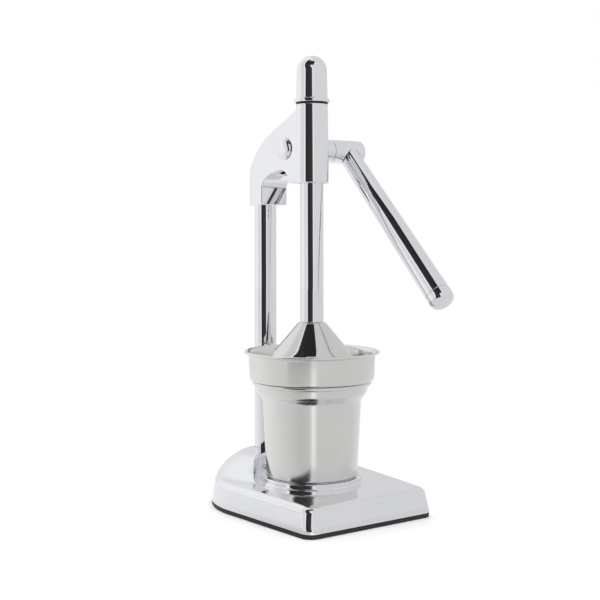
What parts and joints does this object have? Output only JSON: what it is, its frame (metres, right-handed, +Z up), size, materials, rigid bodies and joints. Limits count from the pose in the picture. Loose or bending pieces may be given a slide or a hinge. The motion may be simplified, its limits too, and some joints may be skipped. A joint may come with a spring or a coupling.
{
  "type": "citrus press juicer",
  "caption": "Table-top citrus press: a long lever turns a pinion that drives a toothed plunger and bell down over a ribbed reamer in a strainer bowl on a cup.",
  "frame": {"origin": "the point where the plunger axis meets the table, on the rubber mat underside", "axes": "+Z up along the plunger; -Y towards the straight front edge of the base, so the column stands at +Y; +X towards the lever"},
  "size_m": [0.1628, 0.2353, 0.431],
  "materials": {
    "chrome_plate": "mirror-bright chrome plate",
    "brushed_stainless": "satin spun stainless steel",
    "bright_steel": "plain machined steel",
    "bronze": "sintered bronze",
    "nylon": "natural white nylon",
    "black_rubber": "matt black rubber"
  },
  "bodies": {
    "frame": {"base_shell": "chrome_plate", "base_plate": "bright_steel", "base_mat": "black_rubber", "base_screw_1": "bright_steel", "base_screw_2": "bright_steel", "base_screw_3": "bright_steel", "base_screw_4": "bright_steel", "column_tube": "chrome_plate", "tie_rod": "bright_steel", "tie_rod_nut": "bright_steel", "tie_rod_washer": "bright_steel", "head_casting": "chrome_plate", "head_lock_screw": "bright_steel", "upper_guide_bush": "nylon", "lower_guide_bush": "nylon", "pinion_bush_left": "bronze", "pinion_bush_right": "bronze"},
    "lever": {"drive_pinion": "bright_steel", "drive_key": "bright_steel", "pinion_shaft": "bright_steel", "thrust_washer_left": "bronze", "thrust_washer_right": "bronze", "pivot_cap": "chrome_plate", "lever_hub": "chrome_plate", "hub_lock_screw": "bright_steel", "lever_arm": "chrome_plate", "handle_end_cap": "chrome_plate"},
    "plunger": {"plunger_rod": "chrome_plate", "plunger_cap": "chrome_plate", "cap_washer": "black_rubber", "press_bell": "brushed_stainless", "bell_washer": "bright_steel", "bell_bolt": "bright_steel"},
    "cup": {"juice_cup": "brushed_stainless"},
    "strainer": {"strainer_bowl": "brushed_stainless", "reamer_cone": "brushed_stainless", "reamer_rivet_1": "bright_steel", "reamer_rivet_2": "bright_steel", "reamer_rivet_3": "bright_steel"}
  },
  "joints": [
    {"name": "lever_pivot", "type": "hinge", "parent": "frame", "child": "lever", "pos_m": [0, 0.0238, 0.343], "axis": [-1, 0, 0], "range_deg": [0, 200]},
    {"name": "plunger_slide", "type": "slide", "parent": "frame", "child": "plunger", "axis": [0, 0, 1], "range_m": [0, 0.0525]},
    {"name": "cup_turn", "type": "hinge", "parent": "frame", "child": "cup", "pos_m": [0, 0, 0.0298], "axis": [0, 0, 1], "continuous": true},
    {"name": "strainer_turn", "type": "hinge", "parent": "cup", "child": "strainer", "pos_m": [0, 0, 0.1223], "axis": [0, 0, 1], "continuous": true}
  ],
  "couplings": [
    {"joint": "plunger_slide", "follows": "lever_pivot", "m_per_rad": 0.015}
  ]
}
